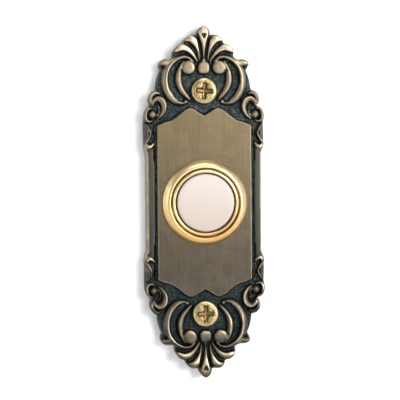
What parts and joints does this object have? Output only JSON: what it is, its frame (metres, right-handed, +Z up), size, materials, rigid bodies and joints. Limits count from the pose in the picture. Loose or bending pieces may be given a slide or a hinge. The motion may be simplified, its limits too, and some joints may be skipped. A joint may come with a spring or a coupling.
{
  "type": "push button door bell",
  "caption": "Ornamental push button door bell: a cast back plate with palmette ends and scrolls, a turned bezel ring, a round lit button, and fixing screws.",
  "frame": {"origin": "centre of the wall-contact plane, on the axis of the button", "axes": "+Z up, front faces -Y, +Y into the wall, +X to the right seen from the front"},
  "size_m": [0.036, 0.0297, 0.1048],
  "materials": {
    "cast_brass": "antique patina, rubbed high spots, brushed panel",
    "polished_brass": "polished and lacquered",
    "screw_brass": "plain, slightly worn",
    "contact_brass": "bright stamped strip",
    "plated_steel": "zinc plated",
    "spring_steel": "drawn wire",
    "ivory_plastic": "translucent warm white",
    "dark_plastic": "moulded, dark brown",
    "lamp_glass": "clear"
  },
  "bodies": {
    "frame": {"plate": "cast_brass", "bezel_ring": "polished_brass", "retaining_nut": "plated_steel", "return_spring": "spring_steel", "switch_housing": "dark_plastic", "lamp_holder": "dark_plastic", "lamp_bulb": "lamp_glass", "lamp_lead_left": "contact_brass", "lamp_lead_right": "contact_brass", "contact_leaf_left": "contact_brass", "contact_leaf_right": "contact_brass", "terminal_bush_left": "contact_brass", "terminal_bush_right": "contact_brass", "terminal_screw_left": "plated_steel", "terminal_screw_right": "plated_steel", "clamp_washer_left": "plated_steel", "clamp_washer_right": "plated_steel", "mounting_screw_lower": "screw_brass", "mounting_screw_upper": "screw_brass"},
    "button": {"button_cap": "ivory_plastic", "contact_ring": "contact_brass"}
  },
  "joints": [
    {"name": "button_press", "type": "slide", "parent": "frame", "child": "button", "axis": [0, 1, 0], "range_m": [0, 0.0015], "stiffness_N_per_m": 300, "springref_m": -0.004, "deforming": ["return_spring"]}
  ]
}
